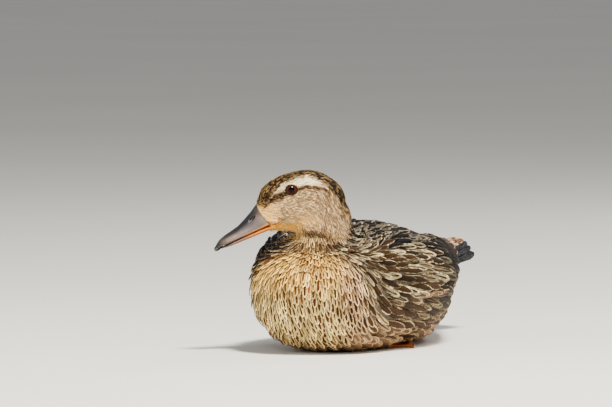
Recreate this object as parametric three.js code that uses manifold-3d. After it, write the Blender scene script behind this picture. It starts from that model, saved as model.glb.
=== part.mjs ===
// A mallard hen at rest on her belly, head up and turned to her right: a still, life-size model.
// Millimetres, +Z up. The origin is the middle of the belly's flat, on the floor. The breast faces -Y,
// the tail +Y and the hen's left is +X. The head has its own frame, laid out in the same way.

import * as THREE from "three";
import { mergeVertices } from "three/addons/utils/BufferGeometryUtils.js";
import Module from "manifold-3d";

const wasm = await Module();
wasm.setup();

// ---- Driving dimensions ----

const GAP = 0.3; // left between pieces that touch
const BIG = 400; // larger than the bird, for cutting blocks

// Trunk, plumage included: [y, half width, top, bottom, level of the widest line]
const TRUNK = [
  [-150, 45, 82, 20, 57],
  [-129, 53, 88, 9, 56],
  [-102, 60, 95.5, 3, 55],
  [-72, 63, 102, 0, 54],
  [-40, 65, 106, -2, 52],
  [0, 65, 104, -2, 51],
  [40, 60, 98, -2, 50],
  [78, 50, 91, 2, 52],
  [110, 38, 85, 14, 55],
  [140, 26, 80, 32, 59],
  [164, 16, 76, 47, 63],
];
const BREAST_ROUND = 52; // length over which the breast rounds off
const RUMP_ROUND = 16;
const BELLY_POWER = 2.4; // the underside is fuller than an ellipse

// Folded wing, left: [y, x, z, lean in degrees, half height, half thickness]
const WING = [
  [-112, 48, 63, 12, 15, 6],
  [-85, 54, 68, 18, 23, 8],
  [-45, 60, 72, 25, 31, 10],
  [5, 60, 70, 28, 28, 10],
  [50, 51, 70, 33, 25, 9],
  [90, 37, 72, 42, 18, 7.5],
  [124, 26, 72, 52, 11, 5],
  [148, 19, 72, 60, 7, 3],
];
const WRIST_ROUND = 30;
const WING_TIP_ROUND = 24;
const PRIMARIES = 4;
const PRIMARY = { length: 92, width: 13, thick: 1 };
const PRIMARY_ROOT = new THREE.Vector3(28, 96, 75.5);
const PRIMARY_TURN = 15; // degrees that the lowest primary points inwards
const PRIMARY_STEP = new THREE.Vector3(-1.6, 5.5, 0.3); // from each primary to the one above
const PRIMARY_LEAN = 30;

// Tail: a fan of pointed feathers, highest in the middle
const TAIL_PAIRS = 4;
const TAIL_FEATHER = { length: 84, width: 17, thick: 1.3 };
const TAIL_ROOT = new THREE.Vector3(0, 128, 71.5);
const TAIL_RISE = 4; // degrees above level
const TAIL_STEP = 2;
const TAIL_SPREAD = 2.4; // degrees from each feather to the next
const TAIL_DROP = 0.7; // of the pair beside the middle one; the fan is arched
const TAIL_LEAN = 10; // degrees from each feather to the next
const TAIL_SHORTEN = 2.6;
const TAIL_CORE = {
  length: 66,
  halfWidth: 16,
  halfHeight: 7,
  offset: new THREE.Vector3(0, 24, -4),
};

// Neck: [height above the floor, centre behind the eyes, half length, half width]
const NECK_CENTRE = new THREE.Vector2(0, -95);
const HEAD_TURN = -68; // degrees about Z, to the hen's right
const NECK = [
  [54, 14, 30, 30],
  [76, 18, 31, 30],
  [85, 21, 30.5, 29.5],
  [94, 28, 23.5, 26.5],
  [104, 27.5, 24, 23.5],
  [120, 24.5, 22.5, 20],
  [134, 23, 18, 17],
];
const NECK_ROUND = 14;

// Head, in a frame pitched down, with its origin midway between the eyes, x to the left and -y
// forward: [distance forward, half width, top, bottom, level of the widest line]
const EYE_HEIGHT = 133;
const EYES_BEFORE_NECK = 23;
const HEAD_PITCH = 20;
const HEAD = [
  [-40, 18.5, 2.5, -38, -18],
  [-30, 20, 6.5, -40, -16],
  [-19, 21, 10.2, -40, -14],
  [-8, 21, 12.6, -38, -13],
  [3, 19.5, 13.3, -35.5, -12],
  [12, 17.3, 12.4, -32, -12],
  [20, 14.4, 10, -29, -12],
  [27, 11.4, 5.5, -26.5, -12],
  [32, 9.8, 1, -24, -12],
];
const NAPE_ROUND = 24;
const FACE_ROUND = 10;
const JAW_LINE = { before: 2, height: -36.5, rise: 13 }; // where head and neck part
const EYE = { radius: 6, out: 12.6, back: 1.2 };

// Bill, in a frame whose origin is the corner of the mouth and whose -y runs along the mouth line:
// [distance forward, half width, top, bottom, level of the widest line]
const GAPE = { before: 10.2, height: -26.4 };
const MOUTH_PITCH = 24;
const UPPER_BILL = [
  [-8, 10.2, 24, 0, 3],
  [0, 10.4, 23.4, 0, 3],
  [8.8, 10, 21, 0, 3],
  [16.6, 9.4, 16.6, 0, 2.5],
  [23.3, 9.1, 13.3, 0, 2.2],
  [28.2, 9.3, 11, 0, 2],
  [34.4, 9.9, 9.1, 0, 1.8],
  [42.2, 10.6, 7.8, 0, 1.6],
  [49, 10.6, 6.4, 0, 1.4],
  [56.4, 10, 5, -0.4, 1.2],
];
const LOWER_BILL = [
  [-6, 8.8, -GAP, -6, -2.4],
  [4, 8.8, -GAP, -4.6, -2],
  [14, 8.5, -GAP, -3.4, -1.6],
  [28, 8.6, -GAP, -3.2, -1.5],
  [42, 9.4, -GAP, -2.8, -1.3],
  [53, 8.8, -GAP, -2, -1],
];
const BILL_ROUND = 13;
const BILL_ROOF_POWER = 1.75; // the base of the bill is ridged
const NAIL = { at: 52.6, level: 1.2, radii: [3.6, 4.4, 2.7] };
const NOSTRIL = { at: 18, level: 10.8, radii: [2.2, 3.1, 1.35], tilt: -22, out: 7.4 };

// Leg, left: the foot's heel, and the shank from it back to the hock
const HEEL = new THREE.Vector3(28, 22, 0);
const FOOT_TURN = 7; // degrees that the toes point outwards
const TOES = [
  { name: "inner", length: 36, angle: -24 },
  { name: "middle", length: 46, angle: 0 },
  { name: "outer", length: 43, angle: 24 },
];
const TOE_RADII = { root: 3.1, tip: 2, knuckle: 2.7 };
const CLAW = { length: 6, radius: 0.8 };
const WEB_THICK = 1.8;
const FOOT_HOLLOW = 6.2; // height of the hollow over the foot
const SHANK = { behind: 8, length: 36, rise: 7, radius: 3.6, hock: 5.2 };

// ---- Shape tools ----

const radians = THREE.MathUtils.degToRad;

// Smooth columns through rows that start with their place: a monotone cubic, so nothing overshoots.
function columns(rows) {
  const at = rows.map((row) => row[0]);
  const count = rows[0].length - 1;
  const slopes = Array.from({ length: count }, (_, column) => {
    const values = rows.map((row) => row[column + 1]);
    const steps = at.slice(1).map((a, i) => (values[i + 1] - values[i]) / (a - at[i]));
    return at.map((_, i) => {
      if (i === 0) return steps[0];
      if (i === at.length - 1) return steps[i - 1];
      if (steps[i - 1] * steps[i] <= 0) return 0;
      return (2 * steps[i - 1] * steps[i]) / (steps[i - 1] + steps[i]);
    });
  });
  return (place) => {
    const i = Math.max(at.slice(0, -1).findLastIndex((a) => a <= place), 0);
    const step = at[i + 1] - at[i];
    const t = THREE.MathUtils.clamp((place - at[i]) / step, 0, 1);
    return slopes.map((slope, column) => {
      const [a, b] = [rows[i][column + 1], rows[i + 1][column + 1]];
      const rise = t * t * (3 - 2 * t);
      const swing = t * (1 - t) * ((1 - t) * slope[i] - t * slope[i + 1]) * step;
      return a + (b - a) * rise + swing;
    });
  };
}

// 0 at an end, 1 from a given length inwards, as a quarter circle.
function rounded(distance, length) {
  const share = THREE.MathUtils.clamp(distance / length, 0, 1);
  return Math.sqrt(1 - (1 - share) ** 2);
}

// A sphere with each vertex moved to place(t, angle): t runs from one pole to the other.
function sculpt(around, along, place) {
  const sphere = new THREE.SphereGeometry(1, around, along);
  const { position, uv } = sphere.attributes;
  for (let i = 0; i < position.count; i += 1) {
    const t = 1 - uv.getY(i);
    const pole = t < 1e-6 || t > 1 - 1e-6;
    position.setXYZ(i, ...place(t, pole ? 0 : 2 * Math.PI * uv.getX(i)));
  }
  return sphere;
}

// A point of a section that is an ellipse, or fuller or leaner by its power, in each half.
function sectionPoint([halfWidth, top, bottom, widest], angle, upperPower, lowerPower) {
  const [c, s] = [Math.cos(angle), Math.sin(angle)].map((v) => Math.round(v * 1e9) / 1e9);
  const power = 2 / (s > 0 ? upperPower : lowerPower);
  const height = s > 0 ? top - widest : widest - bottom;
  return [
    halfWidth * Math.sign(c) * Math.abs(c) ** power,
    widest + height * Math.sign(s) * Math.abs(s) ** power,
  ];
}

// A body whose sections stand across Y. Its rows give places that run forwards or backwards.
function sectionedBody(rows, options) {
  const { around, along, frontRound, backRound, forward, grow = 0 } = options;
  const { upperPower = 2, lowerPower = 2 } = options;
  const column = columns(rows);
  const [first, last] = [rows[0][0], rows[rows.length - 1][0]];
  const [firstRound, lastRound] = forward ? [backRound, frontRound] : [frontRound, backRound];
  return sculpt(around, along, (t, angle) => {
    const place = first + ((last - first) * (1 - Math.cos(Math.PI * t))) / 2;
    const [halfWidth, top, bottom, widest] = column(place);
    const shrink = rounded(place - first, firstRound) * rounded(last - place, lastRound);
    const edge = shrink > 0 ? grow : 0;
    const section = [
      halfWidth * shrink + edge,
      widest + (top - widest) * shrink + edge,
      widest - (widest - bottom) * shrink - edge,
      widest,
    ];
    const [x, z] = sectionPoint(section, angle, upperPower, lowerPower);
    const y = place - grow * Math.cos(Math.PI * t);
    return [x, forward ? -y : y, z];
  });
}

// A three.js geometry as a manifold-3d solid, turned the right way out.
function solid(geometry) {
  const bare = geometry.clone();
  bare.deleteAttribute("normal");
  bare.deleteAttribute("uv");
  const merged = mergeVertices(bare, 1e-4);
  const kept = [];
  const corners = merged.index.array;
  for (let i = 0; i < corners.length; i += 3) {
    const [a, b, c] = corners.slice(i, i + 3);
    if (a !== b && b !== c && a !== c) kept.push(a, b, c);
  }
  const vertProperties = merged.attributes.position.array;
  const body = (triVerts) =>
    new wasm.Manifold(new wasm.Mesh({ numProp: 3, vertProperties, triVerts }));
  const made = body(new Uint32Array(kept));
  return made.volume() > 0 ? made : body(new Uint32Array(kept).reverse());
}

function join(solids) {
  return solids.reduce((whole, piece) => whole.add(piece));
}

function geometryOf(made) {
  const mesh = made.getMesh();
  const geometry = new THREE.BufferGeometry();
  geometry.setAttribute("position", new THREE.BufferAttribute(mesh.vertProperties, 3));
  geometry.setIndex(new THREE.BufferAttribute(mesh.triVerts, 1));
  geometry.computeVertexNormals();
  return geometry;
}

// A block that fills everything under (or over) a level plane of its own frame.
function block(matrix, side, gap) {
  const box = new THREE.BoxGeometry(BIG, BIG, BIG);
  box.translate(0, 0, side * (BIG / 2 + gap));
  return solid(box.applyMatrix4(matrix));
}

// A thin pointed feather in the XY plane, its root at the origin and its tip towards +Y.
function blade({ length, width, thick }) {
  const [quill, hip, belly, shoulder] = [0.14, 0.5, 0.62, 0.2].map((share) => share * width);
  const [low, high, neck] = [0.2, 0.72, 0.95].map((share) => share * length);
  const outline = new THREE.Shape();
  outline.moveTo(-quill, 0);
  outline.bezierCurveTo(-hip, low, -belly, high, -shoulder, neck);
  outline.quadraticCurveTo(0, length * 1.01, shoulder, neck);
  outline.bezierCurveTo(belly, high, hip, low, quill, 0);
  outline.closePath();
  const options = { depth: thick, bevelEnabled: false, curveSegments: 3 };
  return new THREE.ExtrudeGeometry(outline, options).translate(0, 0, -thick / 2);
}

function turned(x, y, z, position) {
  const euler = new THREE.Euler(radians(x), radians(y), radians(z), "ZYX");
  const scale = new THREE.Vector3(1, 1, 1);
  return new THREE.Matrix4().compose(position, new THREE.Quaternion().setFromEuler(euler), scale);
}

// ---- Trunk, wings and tail, in the bird's own frame ----

function trunkSolid(grow = 0) {
  const whole = sectionedBody(TRUNK, {
    around: 24,
    along: 20,
    frontRound: BREAST_ROUND,
    backRound: RUMP_ROUND,
    forward: false,
    lowerPower: BELLY_POWER,
    grow,
  });
  return solid(whole);
}

function wingSolid() {
  const column = columns(WING);
  const [first, last] = [WING[0][0] - 6, WING[WING.length - 1][0] + 6];
  const body = sculpt(12, 16, (t, angle) => {
    const y = first + ((last - first) * (1 - Math.cos(Math.PI * t))) / 2;
    const [x, z, lean, halfHeight, halfThick] = column(y);
    const shrink = rounded(y - first, WRIST_ROUND) * rounded(last - y, WING_TIP_ROUND);
    const up = halfHeight * shrink * Math.sin(angle);
    const out = halfThick * shrink * Math.cos(angle);
    const tilt = radians(lean);
    const across = out * Math.cos(tilt) - up * Math.sin(tilt);
    const rise = out * Math.sin(tilt) + up * Math.cos(tilt);
    return [x + across, y, z + rise];
  });
  const primaries = Array.from({ length: PRIMARIES }, (_, i) => {
    const root = PRIMARY_ROOT.clone().addScaledVector(PRIMARY_STEP, i - PRIMARIES + 1);
    const place = turned(0, PRIMARY_LEAN, PRIMARY_TURN, root);
    return solid(blade(PRIMARY).applyMatrix4(place));
  });
  return join([solid(body), ...primaries]).subtract(trunkSolid(GAP)).subtract(tailSolid(GAP));
}

function tailSolid(grow = 0) {
  const { length, width, thick } = TAIL_FEATHER;
  const feathers = [];
  for (let i = -TAIL_PAIRS; i <= TAIL_PAIRS; i += 1) {
    const out = Math.abs(i);
    const drop = TAIL_DROP * out * out;
    const root = TAIL_ROOT.clone().add(new THREE.Vector3(-TAIL_STEP * i, 0, -drop));
    const place = turned(TAIL_RISE, -TAIL_LEAN * i, TAIL_SPREAD * i, root);
    const size = {
      length: length - out * TAIL_SHORTEN + grow,
      width: width + 2 * grow,
      thick: thick + 2 * grow,
    };
    feathers.push(solid(blade(size).applyMatrix4(place)));
  }
  const core = new THREE.SphereGeometry(1, 12, 8);
  core.scale(TAIL_CORE.halfWidth + grow, TAIL_CORE.length / 2 + grow, TAIL_CORE.halfHeight + grow);
  core.applyMatrix4(turned(TAIL_RISE, 0, 0, TAIL_ROOT.clone().add(TAIL_CORE.offset)));
  return join([...feathers, solid(core)]).subtract(trunkSolid(GAP - grow));
}

// ---- Head, neck and bill. The turned frame stands at the eyes, with Z up. ----

const eyes = new THREE.Vector3(0, -EYES_BEFORE_NECK, 0)
  .applyAxisAngle(new THREE.Vector3(0, 0, 1), radians(HEAD_TURN))
  .add(new THREE.Vector3(NECK_CENTRE.x, NECK_CENTRE.y, EYE_HEIGHT));
const turnedFrame = turned(0, 0, HEAD_TURN, eyes);
const pitchedFrame = turned(HEAD_PITCH, 0, 0, new THREE.Vector3());
const mouthFrame = turned(
  MOUTH_PITCH,
  0,
  0,
  new THREE.Vector3(0, -GAPE.before, GAPE.height),
);

function headGeometry(grow = 0) {
  const whole = sectionedBody(HEAD, {
    around: 20,
    along: 17,
    frontRound: FACE_ROUND,
    backRound: NAPE_ROUND,
    forward: true,
    grow,
  });
  return whole.applyMatrix4(pitchedFrame);
}

function neckGeometry() {
  const column = columns(NECK);
  const [first, last] = [NECK[0][0], NECK[NECK.length - 1][0]];
  return sculpt(20, 10, (t, angle) => {
    const height = first + ((last - first) * (1 - Math.cos(Math.PI * t))) / 2;
    const [behind, halfLength, halfWidth] = column(height);
    const shrink = rounded(height - first, NECK_ROUND) * rounded(last - height, NECK_ROUND);
    return [
      halfWidth * shrink * Math.cos(angle),
      behind + halfLength * shrink * Math.sin(angle),
      height - EYE_HEIGHT,
    ];
  });
}

function eyeGeometry(side, grow = 0) {
  const ball = new THREE.SphereGeometry(EYE.radius + grow, 14, 7);
  return ball.translate(side * EYE.out, EYE.back, 0);
}

function headAndNeck() {
  const whole = solid(headGeometry()).add(solid(neckGeometry()));
  const throat = new THREE.Vector3(0, -JAW_LINE.before, JAW_LINE.height);
  const jaw = turned(JAW_LINE.rise, 0, 0, throat);
  const head = [1, -1]
    .map((side) => solid(eyeGeometry(side, GAP)))
    .reduce((rest, eye) => rest.subtract(eye), whole.subtract(block(jaw, -1, -GAP / 2)));
  const toTurned = turnedFrame.clone().invert();
  const trunk = solid(geometryOf(trunkSolid(GAP)).applyMatrix4(toTurned));
  const neck = whole.subtract(block(jaw, 1, -GAP / 2)).subtract(trunk);
  return { head: head.subtract(trunk), neck };
}

function billSolids() {
  const options = { around: 16, along: 14, frontRound: BILL_ROUND, backRound: 6, forward: true };
  const upperShape = { ...options, upperPower: BILL_ROOF_POWER, lowerPower: 6 };
  const upper = solid(sectionedBody(UPPER_BILL, upperShape));
  const nail = new THREE.SphereGeometry(1, 10, 6).scale(...NAIL.radii);
  nail.translate(0, -NAIL.at, NAIL.level);
  const nostrils = [1, -1].map((side) => {
    const hole = new THREE.SphereGeometry(1, 10, 6).scale(...NOSTRIL.radii);
    const centre = new THREE.Vector3(side * NOSTRIL.out, -NOSTRIL.at, NOSTRIL.level);
    return solid(hole.applyMatrix4(turned(-NOSTRIL.tilt, 0, 0, centre)));
  });
  const lower = solid(sectionedBody(LOWER_BILL, { ...options, lowerPower: 2.6, upperPower: 6 }));
  const head = solid(headGeometry(GAP).applyMatrix4(mouthFrame.clone().invert()));
  const pierced = nostrils.reduce((rest, hole) => rest.subtract(hole), upper.add(solid(nail)));
  const nailRoom = solid(nail.clone().translate(0, 0, -GAP));
  return { upper: pierced.subtract(head), lower: lower.subtract(nailRoom).subtract(head) };
}

// ---- Legs ----

// Tapering rods end to end through points, each point with its own radius and a ball round it.
function limb(points, radii) {
  const up = new THREE.Vector3(0, 1, 0);
  const pieces = points.map(({ x, y, z }, i) =>
    solid(new THREE.SphereGeometry(radii[i], 6, 3).translate(x, y, z)),
  );
  points.slice(1).forEach((to, i) => {
    const from = points[i];
    const along = to.clone().sub(from);
    const shaft = new THREE.CylinderGeometry(radii[i + 1], radii[i], along.length(), 6);
    const turn = new THREE.Quaternion().setFromUnitVectors(up, along.normalize());
    const middle = from.clone().add(to).multiplyScalar(0.5);
    const place = new THREE.Matrix4().compose(middle, turn, new THREE.Vector3(1, 1, 1));
    pieces.push(solid(shaft.applyMatrix4(place)));
  });
  return join(pieces);
}

function toeDirection({ angle }) {
  return new THREE.Vector3(Math.sin(radians(angle)), -Math.cos(radians(angle)), 0);
}

// The outline of the web, or of the hollow it folds into: heel at the origin, middle toe along -Y.
function webOutline(reach, hollow) {
  const tips = TOES.map((toe) => toeDirection(toe).multiplyScalar(toe.length + reach));
  const back = TOE_RADII.root + (reach ? GAP : 0);
  const outline = new THREE.Shape();
  outline.moveTo(-back, back);
  tips.forEach((end, i) => {
    if (i > 0) {
      const dip = tips[i - 1].clone().add(end).multiplyScalar(hollow);
      outline.lineTo(dip.x, dip.y);
    }
    const side = new THREE.Vector3(-end.y, end.x, 0).setLength(reach ? TOE_RADII.knuckle + GAP : 0.8);
    outline.lineTo(end.x - side.x, end.y - side.y);
    outline.lineTo(end.x + side.x, end.y + side.y);
  });
  outline.lineTo(back, back);
  outline.closePath();
  return outline;
}

function slab(outline, depth) {
  return new THREE.ExtrudeGeometry(outline, { depth, bevelEnabled: false, curveSegments: 4 });
}

// The foot in its own frame: heel at the origin, middle toe along -Y, sole at z = 0.
function footSolid() {
  const { root, tip, knuckle } = TOE_RADII;
  const level = (point, radius) => point.clone().setZ(radius * 0.72);
  const toes = TOES.map((toe) => {
    const end = toeDirection(toe).multiplyScalar(toe.length);
    const middle = level(end.clone().multiplyScalar(0.52), knuckle);
    const claw = end.clone().addScaledVector(toeDirection(toe), CLAW.length).setZ(CLAW.radius);
    const points = [level(new THREE.Vector3(), root), middle, level(end, tip), claw];
    return limb(points, [root, knuckle, tip, CLAW.radius]);
  });
  const web = solid(slab(webOutline(0, 0.43), WEB_THICK).translate(0, 0, 0.4));
  return join([web, ...toes]).subtract(block(new THREE.Matrix4(), -1, 0));
}

const footFrame = turned(0, 0, FOOT_TURN, HEEL);

function shankSolid(grow = 0) {
  const start = new THREE.Vector3(0, SHANK.behind, TOE_RADII.root);
  const hock = start.clone().add(new THREE.Vector3(0, SHANK.length, SHANK.rise));
  const shank = limb([start, hock], [SHANK.radius + grow, SHANK.hock + grow]);
  return shank.subtract(block(new THREE.Matrix4(), -1, -0.5 + grow));
}

// The trunk with its belly flat and the hollows that the feet and shanks fold into.
function beddedTrunk() {
  const hollow = solid(slab(webOutline(CLAW.length + 2, 0.5), FOOT_HOLLOW + BIG).translate(0, 0, -BIG));
  const room = [1, -1].flatMap((side) =>
    [hollow, shankSolid(GAP)].map((piece) => {
      const placed = geometryOf(piece).applyMatrix4(footFrame);
      return solid(placed.applyMatrix4(new THREE.Matrix4().makeScale(side, 1, 1)));
    }),
  );
  const onFloor = trunkSolid().subtract(block(new THREE.Matrix4(), -1, 0));
  return room.reduce((rest, piece) => rest.subtract(piece), onFloor);
}

// ---- Assembly ----

const finish = (color, roughness) =>
  new THREE.MeshStandardMaterial({ color, roughness, metalness: 0 });
const plumage = finish(0x8a6a48, 0.85);
const headPlumage = finish(0xb39c78, 0.85);
const darkPlumage = finish(0x4a3a2e, 0.8);
const horn = finish(0x5b5452, 0.4);
const orangeHorn = finish(0xd98a2b, 0.45);
const orangeSkin = finish(0xc8702a, 0.55);
const iris = finish(0x3a1c10, 0.1);

function mesh(name, made, material) {
  const shown = new THREE.Mesh(geometryOf(made), material);
  shown.name = name;
  return shown;
}

function framed(matrix, ...children) {
  const group = new THREE.Group();
  group.applyMatrix4(matrix);
  group.add(...children);
  return group;
}

const mirrored = (...children) =>
  framed(new THREE.Matrix4().makeScale(-1, 1, 1), ...children);

const hen = new THREE.Group();
hen.name = "hen";

const wing = wingSolid();
hen.add(mesh("trunk", beddedTrunk(), plumage));
hen.add(mesh("tail", tailSolid(), darkPlumage));
hen.add(mesh("wing_left", wing, darkPlumage));
hen.add(mirrored(mesh("wing_right", wing, darkPlumage)));

const { head, neck } = headAndNeck();
const { upper, lower } = billSolids();
hen.add(
  framed(
    turnedFrame,
    mesh("neck", neck, headPlumage),
    mesh("head", head, headPlumage),
    mesh("eye_left", solid(eyeGeometry(1)), iris),
    mesh("eye_right", solid(eyeGeometry(-1)), iris),
    framed(mouthFrame, mesh("bill_upper", upper, horn), mesh("bill_lower", lower, orangeHorn)),
  ),
);

const [foot, shank] = [footSolid(), shankSolid()];
hen.add(framed(footFrame, mesh("foot_left", foot, orangeSkin), mesh("leg_left", shank, orangeSkin)));
hen.add(
  mirrored(
    framed(footFrame, mesh("foot_right", foot, orangeSkin), mesh("leg_right", shank, orangeSkin)),
  ),
);

export default hen;
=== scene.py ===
"""Looks of a mallard hen at rest: one skin, laid feathers, bill, eyes and feet.

Sizes are in millimetres unless a name says otherwise.
"""
import math

import bmesh
import bpy
import numpy as np
from mathutils import Matrix, Vector
from mathutils.bvhtree import BVHTree
from mathutils.kdtree import KDTree


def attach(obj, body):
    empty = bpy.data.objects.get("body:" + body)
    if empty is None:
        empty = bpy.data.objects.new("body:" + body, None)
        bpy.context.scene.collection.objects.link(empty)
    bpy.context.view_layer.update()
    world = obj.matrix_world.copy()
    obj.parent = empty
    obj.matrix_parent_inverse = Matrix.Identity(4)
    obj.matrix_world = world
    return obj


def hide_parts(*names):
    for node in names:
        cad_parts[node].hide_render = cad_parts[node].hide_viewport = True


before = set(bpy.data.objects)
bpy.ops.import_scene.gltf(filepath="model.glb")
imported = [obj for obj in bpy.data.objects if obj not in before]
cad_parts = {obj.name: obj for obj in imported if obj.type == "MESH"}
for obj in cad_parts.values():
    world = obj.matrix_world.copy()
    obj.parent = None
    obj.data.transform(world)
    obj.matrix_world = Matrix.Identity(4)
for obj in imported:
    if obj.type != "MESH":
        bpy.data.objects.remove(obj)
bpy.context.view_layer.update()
MM = 0.001
RNG = np.random.default_rng(41)

# -------------------- camera
VIEW_AZIMUTH, VIEW_ELEVATION, VIEW_DISTANCE = math.radians(22.5), math.radians(3), 6000
FRAME_WIDTH, SENSOR = 495.7, 36
EYES = np.array((-21.33, -103.62, 133.0))  # midpoint between the eyes
EYES_ASIDE, EYES_ABOVE = 12.5, -11.9       # from the eyes to the middle of the frame

sa, ca, se, ce = (f(a) for a in (VIEW_AZIMUTH, VIEW_ELEVATION) for f in (math.sin, math.cos))
cam_right, cam_up = np.array((ca, sa, 0)), np.array((-sa * se, ca * se, ce))
cam_back = np.array((sa * ce, -ca * ce, se))
aim = EYES + EYES_ASIDE * cam_right + EYES_ABOVE * cam_up
camera = bpy.data.objects.new("camera", bpy.data.cameras.new("camera"))
bpy.context.scene.collection.objects.link(camera)
camera.data.sensor_fit, camera.data.sensor_width = "HORIZONTAL", SENSOR
camera.data.lens = SENSOR * VIEW_DISTANCE / FRAME_WIDTH
camera.data.clip_start, camera.data.clip_end = 0.1, 200
camera.location = Vector((aim + cam_back * VIEW_DISTANCE) * MM)
camera.rotation_mode = "QUATERNION"
camera.rotation_quaternion = Vector(-cam_back).to_track_quat("-Z", "Y")
bpy.context.scene.camera = camera


# -------------------- small helpers
def tone(r, g, b):
    """A paint colour given in 0-255 steps, as the linear colour that shaders use."""
    return np.array([(c / 255 / 12.92) if c < 11 else ((c / 255 + 0.055) / 1.055) ** 2.4 for c in (r, g, b)])


def ease(low, high, x):
    """0 below low, 1 above high, smooth between; low may be the greater one."""
    t = np.clip((np.asarray(x, float) - low) / (high - low), 0, 1)
    return t * t * (3 - 2 * t)


def hump(x, middle, width):
    """1 at the middle, fading to both sides."""
    return np.exp(-((x - middle) / width) ** 2)


def lerp(a, b, t):
    a, b, t = np.asarray(a, float), np.asarray(b, float), np.asarray(t, float)
    spread = max(a.ndim, b.ndim) > t.ndim or (a.shape[-1:] == (3,) and t.ndim == 1)
    return a + (b - a) * (t[..., None] if spread else t)


def unit(v):
    return v / np.maximum(np.linalg.norm(v, axis=-1, keepdims=True), 1e-9)


def flat_to(v, n):
    """The part of v that lies along a surface whose normal is n."""
    return unit(v - n * (v * n).sum(-1, keepdims=True))


HEAD_TURN, MOUTH_PITCH = math.radians(-68), math.radians(24)
GAPE = np.array((0, -10.2, -26.4))
sh, ch, sm, cm = (f(a) for a in (HEAD_TURN, MOUTH_PITCH) for f in (math.sin, math.cos))
HEAD_AXES = np.array(((ch, sh, 0), (-sh, ch, 0), (0, 0, 1)))
MOUTH_AXES = np.array(((1, 0, 0), (0, cm, sm), (0, -sm, cm)))


def to_head(p):
    """Left, back and up from the midpoint of the eyes."""
    return (p - EYES) @ HEAD_AXES.T


def from_head(h):
    return h @ HEAD_AXES + EYES


def to_mouth(p):
    """Left, back and up from the gape, along the mouth line."""
    return (to_head(p) - GAPE) @ MOUTH_AXES.T


def from_mouth(m):
    return from_head(m @ MOUTH_AXES + GAPE)


def vertex_values(mesh, key):
    values = np.empty(len(mesh.vertices) * 3)
    mesh.vertices.foreach_get(key, values)
    return values.reshape(-1, 3)


def coords(mesh):
    return vertex_values(mesh, "co") / MM


def normals(mesh):
    return vertex_values(mesh, "normal")


def set_coords(mesh, p):
    mesh.vertices.foreach_set("co", (p * MM).ravel())
    mesh.update()


def edge_ends(mesh):
    ends = np.empty(len(mesh.edges) * 2, np.int32)
    mesh.edges.foreach_get("vertices", ends)
    return ends.reshape(-1, 2)


def neighbour_sum(edge, values):
    """For each vertex, the sum of the values across its edges."""
    a, b = edge.T
    return np.bincount(a, values[b], len(values)) + np.bincount(b, values[a], len(values))


def node_copy(names):
    """A bmesh holding merged copies of CAD nodes."""
    bm = bmesh.new()
    for name in names:
        bm.from_mesh(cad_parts[name].data)
    bmesh.ops.remove_doubles(bm, verts=bm.verts, dist=1e-6)
    return bm


def node_tree(names):
    """A search tree of CAD nodes, in metres."""
    bm = node_copy(names)
    tree = BVHTree.FromBMesh(bm)
    bm.free()
    return tree


def point_tree(points):
    tree = KDTree(len(points))
    for i, point in enumerate(points.tolist()):
        tree.insert(point, i)
    tree.balance()
    return tree


def place_verts(bm, points):
    """Moves every vertex to its point, and turns the faces outwards."""
    for v, q in zip(bm.verts, points):
        v.co = Vector(q * MM)
    bmesh.ops.recalc_face_normals(bm, faces=bm.faces)


def add_object(name, mesh):
    obj = bpy.data.objects.new(name, mesh)
    bpy.context.scene.collection.objects.link(obj)
    return obj


def piece(name, shape, material):
    """Finishes one piece. Its shape is a bmesh, a mesh, or the object that holds the mesh."""
    mesh = from_bmesh(name, shape) if isinstance(shape, bmesh.types.BMesh) else shape
    obj = mesh if isinstance(mesh, bpy.types.Object) else add_object(name, mesh)
    obj.data.polygons.foreach_set("use_smooth", [True] * len(obj.data.polygons))
    obj.data.materials.clear()
    obj.data.materials.append(material)
    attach(obj, "root")
    return obj


def from_bmesh(name, bm):
    mesh = bpy.data.meshes.new(name)
    bm.to_mesh(mesh)
    bm.free()
    return mesh


def remeshed(name, bm, voxel, smoothing):
    """One closed, even mesh round all that bm holds."""
    obj = add_object(name, from_bmesh(name, bm))
    mod = obj.modifiers.new("cast", "REMESH")
    mod.mode, mod.voxel_size = "VOXEL", voxel * MM
    mesh = bpy.data.meshes.new_from_object(obj.evaluated_get(bpy.context.evaluated_depsgraph_get()))
    old = obj.data
    obj.modifiers.clear()
    obj.data = mesh
    bpy.data.meshes.remove(old)
    bm = bmesh.new()
    bm.from_mesh(mesh)
    for _ in range(smoothing):
        bmesh.ops.smooth_vert(bm, verts=bm.verts, factor=0.5,
                              use_axis_x=True, use_axis_y=True, use_axis_z=True)
    bmesh.ops.recalc_face_normals(bm, faces=bm.faces)
    bm.to_mesh(mesh)
    bm.free()
    mesh.update()
    mesh.name = name
    return obj


def paint(mesh, name, values):
    """Stores a colour, or up to four numbers, for every vertex."""
    full = np.ones((len(values), 4))
    full[:, :values.shape[1]] = values
    mesh.attributes.new(name, "FLOAT_COLOR", "POINT").data.foreach_set("color", full.ravel())


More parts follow.
